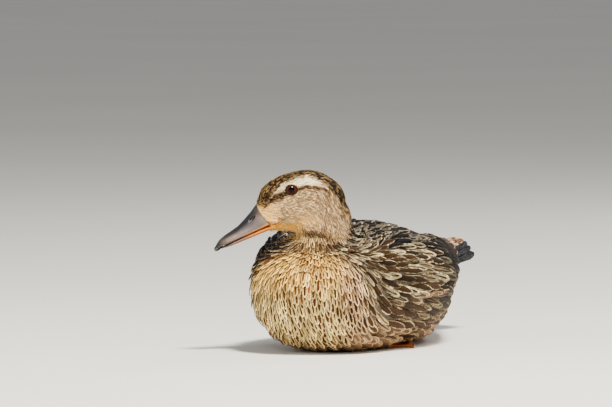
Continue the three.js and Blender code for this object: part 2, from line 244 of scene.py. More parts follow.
# -------------------- shader maths
class Wire:
    """One output socket of a material. Arithmetic on it adds Math nodes."""
    def __init__(self, tree, socket=None):
        self.tree, self.socket = tree, socket

    def node(self, kind, settings=None, sockets=None, out=0):
        """Adds any node: its settings are set first, then its sockets get values or links."""
        made = self.tree.nodes.new(kind)
        for key, value in (settings or {}).items():
            setattr(made, key, value)
        for key, value in (sockets or {}).items():
            if isinstance(value, Wire):
                self.tree.links.new(value.socket, made.inputs[key])
            else:
                made.inputs[key].default_value = value
        return Wire(self.tree, made.outputs[out])

    def math(self, operation, *values):
        return self.node("ShaderNodeMath", {"operation": operation}, dict(enumerate(values)))

    def __add__(self, other): return self.math("ADD", self, other)
    def __radd__(self, other): return self.math("ADD", other, self)
    def __sub__(self, other): return self.math("SUBTRACT", self, other)
    def __rsub__(self, other): return self.math("SUBTRACT", other, self)
    def __mul__(self, other): return self.math("MULTIPLY", self, other)
    def __rmul__(self, other): return self.math("MULTIPLY", other, self)
    def __truediv__(self, other): return self.math("DIVIDE", self, other)
    def __pow__(self, other): return self.math("POWER", self, other)
    def __abs__(self): return self.math("ABSOLUTE", self)
    def sine(self): return self.math("SINE", self)

    def ramp(self, low, high):
        """0 at low and 1 at high, smooth between; low may be the greater one."""
        ends = {"Value": self, "From Min": min(low, high), "From Max": max(low, high)}
        made = self.node("ShaderNodeMapRange", {"interpolation_type": "SMOOTHSTEP"}, ends)
        return 1 - made if low > high else made

    def blend(self, way, share, first, second):
        ends = [c if isinstance(c, Wire) else (*c, 1) for c in (first, second)]
        return self.node("ShaderNodeMix", {"data_type": "RGBA", "blend_type": way},
                         {0: share, 6: ends[0], 7: ends[1]}, out=2)

    def mix(self, first, second):
        """A colour between first and second, by this wire."""
        return self.blend("MIX", self, first, second)

    def tint(self, other):
        """This colour times another."""
        return self.blend("MULTIPLY", 1.0, self, other)

    def shade(self, value):
        """This colour made lighter or darker by a number that varies."""
        return self.tint(self.node("ShaderNodeCombineColor", {}, {0: value, 1: value, 2: value}))

    def attribute(self, name, out="Color"):
        return self.node("ShaderNodeAttribute", {"attribute_name": name}, {}, out)

    def parts(self):
        """The three numbers of a vector."""
        made = self.node("ShaderNodeSeparateXYZ", {}, {0: self})
        return [Wire(self.tree, s) for s in made.socket.node.outputs]

    def place(self):
        return self.node("ShaderNodeTexCoord", {}, {}, "Object")

    def noise(self, scale, detail):
        """Cloudy noise; scale is spots for each millimetre."""
        return self.node("ShaderNodeTexNoise", {}, {
            "Vector": self.place(), "Scale": scale / MM, "Detail": detail})


def finish_of(name, build, roughness=0.6, **constants):
    """A material. build(wire) returns its colour, and perhaps roughness, or a bump with its strength
    and its depth in mm."""
    mat = bpy.data.materials.new(name)
    mat.use_nodes = True
    tree = mat.node_tree
    shader = next(n for n in tree.nodes if n.type == "BSDF_PRINCIPLED")
    wire = Wire(tree)
    made = build(wire)
    for key, value in {"Roughness": roughness, **constants}.items():
        shader.inputs[key].default_value = value
    tree.links.new(made["colour"].socket, shader.inputs["Base Color"])
    if "roughness" in made:
        tree.links.new(made["roughness"].socket, shader.inputs["Roughness"])
    if "bump" in made:
        bump = wire.node("ShaderNodeBump", {}, {
            "Height": made["bump"], "Strength": made["strength"], "Distance": made["depth"] * MM})
        tree.links.new(bump.socket, shader.inputs["Normal"])
    return mat


# -------------------- where on the bird
NECK_FOOT = np.array((-4.0, -97.0, 85.0))
# lines on the side of the head, each point forward of the eyes and above them
CROWN_LINE = ((-41, -12), (-38, -6), (-33.5, -1), (-27.5, 4.4), (-24, 6.8), (-20.7, 8.8), (-14, 10.8),
              (-8, 10.6), (-2.7, 8.4), (2, 6.6), (6.3, 4.6), (11.8, 0.2), (16, -6), (21, -13))
EYELINE = ((-33, -3.8), (-27.5, 0), (-20.7, 2.1), (-11.3, 2.2), (-4.6, 0.4), (0, -1), (6.8, -4.2),
           (12.8, -6.9), (18.3, -10.9), (24, -16))


def head_share(p):
    """1 on the head and neck, 0 on the trunk."""
    plan = np.hypot(p[:, 0] - NECK_FOOT[0], p[:, 1] - NECK_FOOT[1])
    behind = to_head(p)[:, 1]
    above = np.maximum(ease(104, 110, p[:, 2]), ease(84, 99, p[:, 2]) * (1 - ease(33, 42, plan)))
    return above * (1 - ease(43, 50, behind) * ease(112, 104, p[:, 2]))


def breast_share(p):
    """1 on the breast, 0 behind it and on the neck."""
    return (1 - ease(-127, -104, p[:, 1] + 0.18 * (p[:, 2] - 55))) * (1 - head_share(p))


def line(points, f):
    return np.interp(f, *zip(*points))


# colours of feathers: the rim, and the darker middle
CROWN = tone(148, 120, 78), tone(17, 11, 8)
FOREHEAD = tone(192, 152, 94), tone(20, 12, 8)
BROW = tone(255, 242, 206), tone(226, 196, 146)
LORE = tone(124, 90, 60), tone(22, 13, 9)
CHEEK = tone(244, 212, 156), tone(94, 64, 42)
HIND_CHEEK = tone(228, 192, 142), tone(76, 52, 36)
BILL_BASE = tone(250, 208, 132), tone(200, 150, 84)
# buff under the chin, warmed to orange by painted reflected light
CHIN_AND_REFLECTED_LIGHT = tone(244, 190, 88), tone(202, 144, 60)
# painted shade in the crease under the cheek
FOLD_PAINTED_SHADE = tone(78, 50, 30), tone(34, 20, 13)
NECK = tone(206, 168, 128), tone(62, 42, 31)
BREAST_HIGH = tone(255, 208, 110), tone(92, 55, 26)
BREAST_LOW = tone(255, 228, 152), tone(72, 42, 24)
BREAST_SIDE = tone(226, 184, 136), tone(52, 32, 24)
SIDE = tone(255, 235, 182), tone(50, 34, 20)
SIDE_LOW = tone(250, 218, 160), tone(58, 36, 21)
# the back's dark brown feathers, their middles deepened to blue-black as painted shade
MANTLE_AND_PAINTED_SHADE = tone(216, 194, 160), tone(5, 4, 6)
# brown of the rump and rear flank, darkened almost to black as painted shade
REAR_AND_PAINTED_SHADE = tone(58, 37, 17), tone(6, 3, 2)
BELLY = tone(214, 184, 140), tone(124, 92, 66)
UNDERTAIL = tone(226, 200, 158), tone(52, 33, 24)
# painted shade: blue-black for the far shoulder and back, which lie in shade
FAR_SIDE_PAINTED_SHADE = tone(40, 46, 64), tone(6, 8, 16)


def layered(tints, *coats):
    """Lays coats, each a pair of tints and its share, over a pair of tints in turn."""
    for coat, share in coats:
        tints = [lerp(base, over, share) for base, over in zip(tints, coat)]
    return tints


def markings(p, n):
    """Rim colour, middle colour, marks and contrast of the feathers that lie at p.

    The marks are the middle's width and reach, the inner mark and the shaft.
    f runs forward of the eyes and u above them.
    """
    count = len(p)
    h = to_head(p)
    x, y, z = p.T
    on_head, on_breast = head_share(p), breast_share(p)
    waves = np.array(((0.9, 1.7, -1.1), (1.3, -0.8, 0.9), (-0.7, 1.1, 1.5)))
    drift = np.sin(p @ waves.T * 0.55 + (0, 2, 4))  # the edges of the markings wander a little
    f, u = -h[:, 1] + 0.4 * drift[:, 0], h[:, 2] + 0.35 * drift[:, 1] + RNG.normal(0, 0.3, count)
    y, z = y + 3 * drift[:, 1], z + 2.5 * drift[:, 2]

    def even(pair):
        return [np.tile(c, (count, 1)) for c in pair]

    # trunk: flanks, back, far shoulder, rump, undertail and belly; the back, the far shoulder and the rear
    # carry painted shade
    # where the dark back begins; on the far side it reaches lower, as painted shade
    back_level = np.where(x > 0, 81 + 4.5 * ease(0, -30, y), 73) - 4 * ease(-60, 40, y)
    tints = layered(
        even(SIDE),
        (SIDE_LOW, ease(42, 22, z)),
        (MANTLE_AND_PAINTED_SHADE, ease(-6, 7, z - back_level) * ease(60, 0, y)),
        # painted shade over the far side's shoulder and back
        (FAR_SIDE_PAINTED_SHADE, 0.8 * ease(-40, -52, x) * ease(66, 76, z) * ease(-40, -70, y)),
        # painted shade over the rump, and lower down over the rear flank
        (REAR_AND_PAINTED_SHADE, ease(-10, 40, y) * ease(56, 72, z)),
        (REAR_AND_PAINTED_SHADE, 0.94 * ease(-24, 30, y) * ease(26, 50, z)),
        (UNDERTAIL, ease(90, 125, y) * ease(56, 44, z)),
        (BELLY, ease(-0.5, -0.85, n[:, 2]) * ease(110, 80, y)))
    dull = RNG.random(count) ** 1.4 * (1 - on_breast)
    tints[0] = lerp(tints[0], tints[1] * 2.2 + 0.02, 0.7 * dull)
    wide = np.full(count, 0.76)
    reach = RNG.uniform(0.95, 1.22, count)
    inner = 0.75 * (RNG.random(count) < 0.4)
    shaft = np.full(count, 0.25)
    # breast
    breast = layered(even(BREAST_HIGH), (BREAST_LOW, ease(70, 34, z)), (BREAST_SIDE, ease(24, 46, x)))
    tints = layered(tints, (breast, on_breast))
    wide = lerp(wide, 0.4 + 0.05 * ease(80, 60, z), on_breast)
    reach = lerp(reach, 0.9, on_breast)
    inner = inner * (1 - on_breast)
    shaft = lerp(shaft, 0.1, on_breast)
    # neck
    neck = layered(
        even(NECK),
        (CROWN, 0.75 * ease(-30, -40, f) * ease(-30, -16, u)),
        (BREAST_HIGH, 0.92 * ease(108, 94, z) * ease(38, 8, x) * ease(-80, -96, y)))
    # head: cap, brow and stripe through the eye over cheek, chin and the foot of the bill
    # mask of the crease under the cheek, which takes painted shade
    fold = np.exp(-((f + 21) / 13) ** 4 - ((u + 36.5 - 0.12 * (f + 20)) / 2.8) ** 2)
    eye_u, crown_u = line(EYELINE, f), line(CROWN_LINE, f)
    above = ease(0.2, 1.8, u - eye_u)
    crown = ease(-2.4, 1.6, u - crown_u + RNG.normal(0, 0.8, count))
    crown = np.maximum(crown, ease(-37, -42, f) * ease(-30, -10, u))
    brow = above * (1 - crown) * ease(-32, -18, f) * ease(17, 11, f)
    half = 1.45 + 1.4 * ease(2, 8, f)
    stripe = (1 - ease(0.5, 1.6, np.abs(u - eye_u) / half)) * ease(-34, -30, f) * ease(24, 20, f)
    bill_foot, chin = ease(7, 13, f) * ease(-10, -14, u), ease(-14, -4, f)
    low = ease(-30, -42, u)
    head = layered(
        even(CHEEK),
        (HIND_CHEEK, ease(-12, -26, f)),
        (BILL_BASE, bill_foot),
        (BILL_BASE, 0.8 * hump(f, -13, 10) * hump(u, -25, 5)),
        # the chin's underside: buff with painted reflected light
        (CHIN_AND_REFLECTED_LIGHT, ease(-25, -29, u) * chin),
        (BROW, brow * (0.6 + 0.4 * hump(f, -12, 10))),
        (LORE, stripe * (0.8 + 0.2 * ease(-2, 4, f))),
        (CROWN, crown),
        (FOREHEAD, 0.8 * crown * ease(3, 9, f)),
        (neck, low),
        (FOLD_PAINTED_SHADE, fold))
    tints = layered(tints, (head, on_head))
    calm = np.clip(brow + ease(-24, -30, u) * chin + bill_foot, 0, 1)
    dark = np.maximum(crown, stripe)
    wide = lerp(wide, lerp(lerp(0.42, 0.2, calm), 0.62, dark), on_head)
    reach = lerp(reach, 0.97, on_head)
    inner = inner * (1 - on_head)
    shaft = shaft * (1 - on_head)
    head_contrast = np.clip(0.6 + 0.3 * dark - 0.42 * calm - 0.25 * low, 0.12, 0.9)
    contrast = lerp(lerp(0.34, 0.4, on_breast), head_contrast, on_head)
    return tints[0], tints[1], np.stack([wide, reach, inner, shaft], -1), contrast


def lie(p, n):
    """Which way the feathers lie."""
    x, y, z = p.T
    h = to_head(p)
    f, u = -h[:, 1], h[:, 2]
    # trunk: out and down from the neck's foot on the breast, back along the sides
    out = unit(p - (NECK_FOOT + (0, 0, 12)))
    inwards = -0.22 * np.sign(x) * ease(60, 130, y) + 0.1 * np.sign(x) * ease(70, 90, z) * ease(20, -60, y)
    back = np.stack([inwards, np.ones(len(p)), -0.16 + 0.24 * ease(60, 140, y) * ease(60, 45, z)], -1)
    trunk = unit(lerp(out, unit(back), ease(-125, -80, y)))
    # head: back from the bill, then down the neck
    from_bill = unit(h - (0, -30, -14))
    down = unit(np.tile((0, 0.25, -1), (len(p), 1)))
    turned = np.maximum(ease(-8, -34, f) * ease(14, -4, u), ease(-26, -44, u))
    head = unit(lerp(from_bill, down, turned)) @ HEAD_AXES
    neck = unit(lerp(np.tile((0, 0, -1.0), (len(p), 1)), out, 0.45))
    head = unit(lerp(head, neck, ease(-32, -46, u)))
    return flat_to(lerp(trunk, head, head_share(p)), n)


def coat_sizes(p, n):
    """Spacing across, stretch of the spacing along, length and half width of feathers at p."""
    h = to_head(p)
    f, u = -h[:, 1], h[:, 2]
    y, z = p[:, 1], p[:, 2]
    near = np.linalg.norm(p - NECK_FOOT, axis=1)
    spread = ease(30, 92, near)
    gap = lerp(2.7, 4.4, spread)
    stretch = lerp(1.6, 4.6, spread)
    on_breast, on_head = breast_share(p), head_share(p)
    gap = lerp(gap, 2.3 + 0.7 * ease(96, 66, z) + 0.5 * ease(60, 25, z), on_breast)
    stretch = lerp(stretch, 1.7, on_breast)
    under = ease(-0.4, -0.8, n[:, 2])
    gap, stretch = lerp(gap, 7, under * (1 - on_breast)), lerp(stretch, 1.6, under)
    rear = ease(120, 150, y)
    gap, stretch = lerp(gap, 7, rear), lerp(stretch, 2.0, rear)
    length = gap * stretch * lerp(2.3, 2.25, spread)
    length = lerp(length, gap * 3.4, on_breast)
    half = gap * lerp(0.88, 0.7, on_breast)
    head_gap = 1.05 + 0.3 * ease(2, -24, f)
    head_gap = lerp(head_gap, 1.6, ease(-20, -36, u))
    head_gap = lerp(head_gap, 2.6, ease(-34, -50, u))
    gap, stretch = lerp(gap, head_gap, on_head), lerp(stretch, 1.15, on_head)
    length = lerp(length, head_gap * 3.3, on_head)
    half = lerp(half, head_gap * 0.62, on_head)
    return gap, stretch, length, half


# -------------------- skin
SIDES = (("left", 1), ("right", -1))
COAT_DEPTH_HEAD, COAT_DEPTH_BODY, COAT_DEPTH_BELOW = 0.8, 2.4, 1.2
EYE_OUT, EYE_BACK, EYE_RADIUS = 12.3, 0.9, 6.0
LID_HALF_LONG, LID_HALF_HIGH = 4.5, 3.95
GAPE_BACK, GAPE_DROP, GAPE_LONG, GAPE_HIGH = -3.2, 1.9, 5.8, 3.5
SKIN_SWELL, SKIN_VOXEL, SKIN_SMOOTHING, MELT_ROUNDS, SKIN_FLOOR = 0.5, 1.5, 8, 45, 0.4
RUMP_END = 152  # the trunk is cut here, and a flat ball under the tail's coverts rounds it off
RUMP_MIDDLE, RUMP_HALVES, RUMP_TILT = np.array((0, 146, 66.5)), np.array((17, 42, 9.5)), math.radians(4)
BILL_NEAR, BILL_RAY, RAY_STEP = 14, Vector((0.05, 0.1, 1)), Vector((0, 0, 1e-6))

bm = node_copy(("trunk", "neck", "head", "wing_left", "wing_right"))
for v in bm.verts:
    v.co += v.normal * SKIN_SWELL * MM
bmesh.ops.bisect_plane(bm, geom=bm.verts[:] + bm.edges[:] + bm.faces[:], plane_co=(0, RUMP_END * MM, 0),
                       plane_no=(0, 1, 0), clear_outer=True)
bmesh.ops.holes_fill(bm, edges=bm.edges, sides=0)
for _, side in SIDES:  # fills the eye sockets
    at = Vector(from_head(np.array((side * EYE_OUT, EYE_BACK, 0.0))) * MM)
    bmesh.ops.create_uvsphere(bm, u_segments=24, v_segments=16, radius=(EYE_RADIUS + 0.5) * MM,
                              matrix=Matrix.Translation(at))
rump = Matrix.Translation(Vector(RUMP_MIDDLE * MM)) @ Matrix.Rotation(RUMP_TILT, 4, "X")
rump = rump @ Matrix.Diagonal((*RUMP_HALVES * MM, 1))
bmesh.ops.create_uvsphere(bm, u_segments=32, v_segments=20, radius=1, matrix=rump)
skin = remeshed("skin", bm, SKIN_VOXEL, SKIN_SMOOTHING)
BILL_TREE = node_tree(("bill_upper", "bill_lower"))
FEET_TREE = node_tree(("foot_left", "foot_right", "leg_left", "leg_right"))


def bill_gap(q):
    """How far points are from the bill, and whether they lie inside it."""
    far, inside = np.full(len(q), 99.0), np.zeros(len(q), bool)
    for i in np.flatnonzero(to_head(q)[:, 1] < -4):
        point = Vector(q[i].tolist()) * MM
        far[i] = BILL_TREE.find_nearest(point)[3] / MM
        if far[i] < BILL_NEAR:
            hits, ray = 0, point.copy()
            while hits < 12:
                place = BILL_TREE.ray_cast(ray, BILL_RAY)[0]
                if place is None:
                    break
                hits, ray = hits + 1, place + RAY_STEP
            inside[i] = hits % 2
    return far, inside


def ball_height(r):
    """How far the eyeball stands out of its middle plane, r from its axis."""
    return np.sqrt(np.maximum(EYE_RADIUS ** 2 - r ** 2, 0))


p = coords(skin.data)
edge = edge_ends(skin.data)
degree = np.bincount(edge.ravel(), minlength=len(p)).astype(float)[:, None]
settle = (1 - head_share(p)) * (p[:, 2] > 6)
for _ in range(MELT_ROUNDS):  # the folded wings melt into the trunk
    mean = np.stack([neighbour_sum(edge, column) for column in p.T], -1) / degree
    p = p + (mean - p) * (0.5 * settle)[:, None]
set_coords(skin.data, p)
n = normals(skin.data)
bill_far, _ = bill_gap(p)
depth = lerp(COAT_DEPTH_BODY, COAT_DEPTH_HEAD * ease(1, 7, bill_far), head_share(p))
depth = depth + 0.4 * ease(0, 5, bill_far) - 0.25 * ease(3, 0, bill_far)
depth = np.where(n[:, 2] < -0.8, np.minimum(depth, COAT_DEPTH_BELOW), depth)
_, back, up = to_head(p).T
fold = hump(up, -37, 2.8) * ease(40, 34, back) * ease(-2, 8, back) * head_share(p)
p = p - n * (depth + 1.5 * fold)[:, None]
p[:, 2] = np.maximum(p[:, 2], SKIN_FLOOR)
h = to_head(p)
for _, side in SIDES:  # the skin sinks round the eyeball
    aside, up, out = h[:, 1] - EYE_BACK, h[:, 2], h[:, 0] * side
    r = np.hypot(aside, up)
    ring = np.hypot(aside / LID_HALF_LONG, up / LID_HALF_HIGH)
    ball = EYE_OUT + ball_height(np.minimum(r, 5.4))
    near = out > 6
    inside = near & (ring < 1.02)
    rim = near & (ring >= 1.02) & (ring < 2)
    h[inside, 0] = side * (ball[inside] - 1.3)
    t = ease(1.02, 2, ring[rim])
    cover = np.where(r[rim] < EYE_RADIUS, EYE_OUT + ball_height(r[rim]) + 0.45, 0)
    h[rim, 0] = side * np.maximum(ball[rim] * (1 - t) + out[rim] * t, cover)
p = from_head(h)
set_coords(skin.data, p)

SKIN_TREE = BVHTree.FromPolygons(p.tolist(), [tuple(f.vertices) for f in skin.data.polygons])


def snap(q, loose=5.0, fallback=None):
    """The nearest skin points and their normals; a point further off than loose stays where it is."""
    found, norm = q.copy(), np.empty_like(q) if fallback is None else fallback.copy()
    for i, point in enumerate(q.tolist()):
        place, normal, _, distance = SKIN_TREE.find_nearest(point)
        if fallback is None or distance < loose:
            found[i], norm[i] = place, normal
    return found, norm


# -------------------- feather laying
def leaf(around, along, outline):
    """A flat closed leaf made from a sphere.

    It holds the stations of its rings and the share of the width at each, and for each vertex its
    station and the cosine and sine of its place round the leaf.
    """
    bm = bmesh.new()
    bmesh.ops.create_uvsphere(bm, u_segments=around, v_segments=along, radius=1)
    bm.verts.ensure_lookup_table()
    co = np.array([v.co for v in bm.verts])
    faces = [[v.index for v in face.verts] for face in bm.faces]
    bm.free()
    level = np.round((co[:, 2] + 1) / 2, 5)
    stations, ring = np.unique(level, return_inverse=True)
    radius = np.hypot(co[:, 0], co[:, 1])
    pole = radius < 1e-5
    cos = np.where(pole, 0, co[:, 0] / np.maximum(radius, 1e-9))
    sin = np.where(pole, 0, co[:, 1] / np.maximum(radius, 1e-9))
    share = np.interp(stations, *zip(*outline))
    return dict(stations=stations, ring=ring, cos=cos, sin=sin, share=share, faces=faces)


POINTED_TIP = ((0, 0), (0.06, 0.4), (0.25, 0.86), (0.45, 1), (0.65, 0.9), (0.82, 0.64), (0.93, 0.34), (1, 0))
QUILL_TIP = ((0, 0), (0.03, 0.45), (0.15, 0.8), (0.4, 1), (0.7, 0.96), (0.88, 0.74), (0.96, 0.42), (1, 0))
LANCE_TIP = ((0, 0), (0.06, 0.34), (0.25, 0.72), (0.5, 0.98), (0.66, 1), (0.8, 0.86), (0.92, 0.52), (1, 0))
SMALL_LEAF = leaf(6, 4, POINTED_TIP)
WIDE_LEAF = leaf(6, 8, LANCE_TIP)
SIDE_LEAF = leaf(6, 10, LANCE_TIP)
LONG_LEAF = leaf(8, 14, QUILL_TIP)
RAGGED, RISE, FEATHER_FLOOR = 0.1, 0.85, 0.25
RUMP_TURN = 128  # behind it the vanes run on straight where the skin turns down
CANDIDATES, FEET_CLEARANCE = 7, 5  # roots tried for each feather's room, and the bare space by the feet


def vanes(name, shape, course, size, tints, bake, patch, material, camber=0.16):
    """Joins one closed vane for each spine.

    course holds the spines, their normals and their directions, and size the half width, thickness,
    root height and tip height. bake is each root's place on the unwrap, and patch the vane's size there.
    """
    spine, normal, along = course
    st, k = shape["stations"], shape["ring"]
    count, verts = len(spine), len(k)
    half, thick, root_h, tip_h = (a[:, None] for a in size)
    across = unit(np.cross(normal, along))
    lift = root_h + (tip_h - root_h) * st[None] ** RISE
    cos, sin, share = shape["cos"][None], shape["sin"][None], shape["share"][k][None]
    side = half * share * cos * (1 + RAGGED * RNG.uniform(-1, 1, (count, verts)))
    up = thick * sin * np.minimum(1, share * 1.6) + lift[:, k] - camber * half * share ** 2 * cos ** 2
    co = (spine[:, k] + across[:, k] * side[..., None] + normal[:, k] * up[..., None]).reshape(-1, 3)
    co[:, 2] = np.maximum(co[:, 2], FEATHER_FLOOR)
    flat = np.concatenate(shape["faces"])
    loops = (flat[None] + (np.arange(count) * verts)[:, None]).ravel()
    sizes = np.tile([len(f) for f in shape["faces"]], count)
    mesh = bpy.data.meshes.new(name)
    mesh.vertices.add(count * verts)
    mesh.loops.add(len(loops))
    mesh.polygons.add(len(sizes))
    mesh.vertices.foreach_set("co", (co * MM).ravel())
    mesh.loops.foreach_set("vertex_index", loops.astype(np.int32))
    mesh.polygons.foreach_set("loop_start", (np.cumsum(sizes) - sizes).astype(np.int32))
    mesh.update(calc_edges=True)
    outline = np.abs(shape["sin"]) < 1e-4
    sharp = outline[edge_ends(mesh) % verts].all(1)
    mesh.attributes.new("sharp_edge", "BOOLEAN", "EDGE").data.foreach_set("value", sharp)
    uv = np.stack([0.5 + 0.5 * shape["cos"], st[k]], -1)
    tiled = np.tile(uv[flat], (count, 1))
    mesh.uv_layers.new(name="feather").data.foreach_set("uv", tiled.ravel())
    places = np.repeat(bake, len(flat), axis=0) + (tiled - 0.5) * patch
    mesh.uv_layers.new(name="OFBake").data.foreach_set("uv", places.ravel())
    for key, values in zip(("rim_tint", "middle_tint", "marks"), tints):
        paint(mesh, key, np.repeat(values, verts, axis=0))
    mesh.update()
    return piece(name, mesh, material)


def unwrap(p, centre, axis, top, polar=False):
    """Places on a piece's own unwrap, spread over the unit square.

    They go round the axis, and along it or, if polar, by the angle from it.
    """
    d = p - np.asarray(centre, float)
    axis, top = np.asarray(axis, float), np.asarray(top, float)
    left = np.cross(axis, top)
    turn = np.arctan2(d @ left, d @ top) / (2 * math.pi) + 0.5
    along = np.arccos(np.clip(unit(d) @ axis, -1, 1)) if polar else d @ axis
    both = np.stack([turn, along], -1)
    low, high = both.min(0), both.max(0)
    return 0.02 + 0.96 * (both - low) / np.maximum(high - low, 1e-6)


def march(p, n, flow, length, stations, follow=0.4, loose=5.0):
    """Walks each spine over the skin from its root."""
    spine, norm, along = [p], [n], [flow]
    d = flow
    for a, b in zip(stations, stations[1:]):
        free = spine[-1] + d * (length * (b - a))[:, None]
        q, m = snap(free, loose, norm[-1])
        m = unit(0.5 * m + 0.5 * norm[-1])
        past = ((m[:, 1] > 0.5) & (free[:, 1] > RUMP_TURN))[:, None]  # over the rump's end it runs on
        q, m = np.where(past, free, q), np.where(past, norm[-1], m)
        d = np.where(past, d, flat_to(lerp(d, lie(q, m), follow), m))
        spine.append(q)
        norm.append(m)
        along.append(d)
    return [np.stack(a, 1) for a in (spine, norm, along)]


# candidates for roots, thicker where the feathers are small
skin.data.calc_loop_triangles()
tri = np.array([t.vertices for t in skin.data.loop_triangles])
corners = p[tri]
face_n = np.cross(corners[:, 1] - corners[:, 0], corners[:, 2] - corners[:, 0])
area = np.linalg.norm(face_n, axis=1) / 2
skin_n = normals(skin.data)
gap, stretch, _, _ = coat_sizes(corners.mean(1), unit(face_n))
weight = area / (gap ** 2 * stretch)
total = int(weight.sum() * CANDIDATES)
pick = RNG.choice(len(tri), total, p=weight / weight.sum())
r1, r2 = np.sqrt(RNG.random(total)), RNG.random(total)
bary = np.stack([1 - r1, r1 * (1 - r2), r1 * r2], -1)[..., None]
roots, root_n = (corners[pick] * bary).sum(1), unit((skin_n[tri[pick]] * bary).sum(1))


def on_gape(q):
    """How near points are to the fleshy corners of the mouth, in their half sizes."""
    m = to_mouth(q)
    f, level = -m[:, 1], m[:, 2]
    return np.hypot((f + GAPE_BACK) / GAPE_LONG, (level + GAPE_DROP) / GAPE_HIGH)


def eye_ring(q):
    """How far points are from the eyes' middles, in openings."""
    h = to_head(q)
    ring = np.hypot((h[:, 1] - EYE_BACK) / LID_HALF_LONG, h[:, 2] / LID_HALF_HIGH)
    return np.where(np.abs(h[:, 0]) > 6, ring, 9)


flow = lie(roots, root_n)
gap, stretch, length, half = coat_sizes(roots, root_n)
tree = point_tree(roots)
low = np.flatnonzero(roots[:, 2] < 22)
by_feet = [FEET_TREE.find_nearest(Vector(q) * MM)[3] < FEET_CLEARANCE * MM for q in roots[low].tolist()]
dead = bill_gap(roots)[1] | (eye_ring(roots) < 1.12) | (on_gape(roots) < 1) | (roots[:, 2] < 1.2)
dead |= (roots[:, 1] > 138) & (root_n[:, 1] > 0.7)  # the rump's end, under the tail
dead[low[by_feet]] = True
kept = []
for i in range(total):
    if dead[i]:
        continue
    kept.append(i)
    near = tree.find_range(roots[i].tolist(), gap[i] * stretch[i])
    if len(near) > 1:
        index = np.array([e[1] for e in near])
        d = roots[index] - roots[i]
        a = d @ flow[i]
        square = (d * d).sum(1) - a * a + (a / stretch[i]) ** 2
        dead[index[square < gap[i] ** 2 * 0.72]] = True
roots, root_n, flow, length, half = (a[kept] for a in (roots, root_n, flow, length, half))
on_head, on_breast = head_share(roots), breast_share(roots)

# each feather a little different
turn = RNG.normal(0, 1, len(roots)) * lerp(lerp(0.17, 0.11, on_breast), 0.16, on_head)
aside = np.cross(root_n, flow)
flow = unit(flow * np.cos(turn)[:, None] + aside * np.sin(turn)[:, None])
length = length * RNG.uniform(0.86, 1.12, len(roots))
half = half * RNG.uniform(0.88, 1.1, len(roots))
tip = roots + flow * length[:, None]
open_eye = (eye_ring(tip) > 1.0) & (eye_ring((roots + tip) / 2) > 1.08)
roots, root_n, flow, length, half, on_head, on_breast = (
    a[open_eye] for a in (roots, root_n, flow, length, half, on_head, on_breast))
count = len(roots)
rim_tint, middle_tint, marks, contrast = markings(roots + flow * (0.55 * length)[:, None], root_n)

# neighbours share a shade, in clumps that are long along the lie
seeds = np.flatnonzero(RNG.random(count) < 0.75)
shade = RNG.random(len(seeds))
tree = point_tree(roots[seeds])
dark = np.empty(count)
for i, point in enumerate(roots.tolist()):
    index = np.array([e[1] for e in tree.find_n(point, 12)])
    d = roots[seeds[index]] - roots[i]
    a = d @ flow[i]
    dark[i] = shade[index[np.argmin((d * d).sum(1) - a * a * 0.9)]]
dark = ease(0, 0.3, dark - 0.45 + 0.35 * contrast)
rim_tint, middle_tint = (lerp(rim_tint, middle_tint, dark * contrast),
                         lerp(middle_tint, rim_tint, 0.3 * (1 - dark) * contrast * on_head))
mottle = 1 + RNG.normal(0, 1, count) * lerp(0.2, 0.12, on_head)
rim_tint = rim_tint * mottle[:, None].clip(0.5, 1.4)
middle_tint = middle_tint * np.exp(RNG.normal(0, 1, (count, 1)) * lerp(0.35, 0.14, on_head)[:, None])
marks[:, 0] *= lerp(RNG.uniform(0.86, 1.1, count), RNG.uniform(0.45, 1.35, count),
                    np.maximum(on_breast, 0.6 * on_head))

thick = lerp(0.3, 0.1, on_head) * lerp(1, 0.7, on_breast)
tip_height = lerp(lerp(2.9, 2.0, on_breast), 0.85, on_head) * RNG.uniform(0.8, 1.15, count)
root_height = -lerp(0.3, 0.12, on_head)


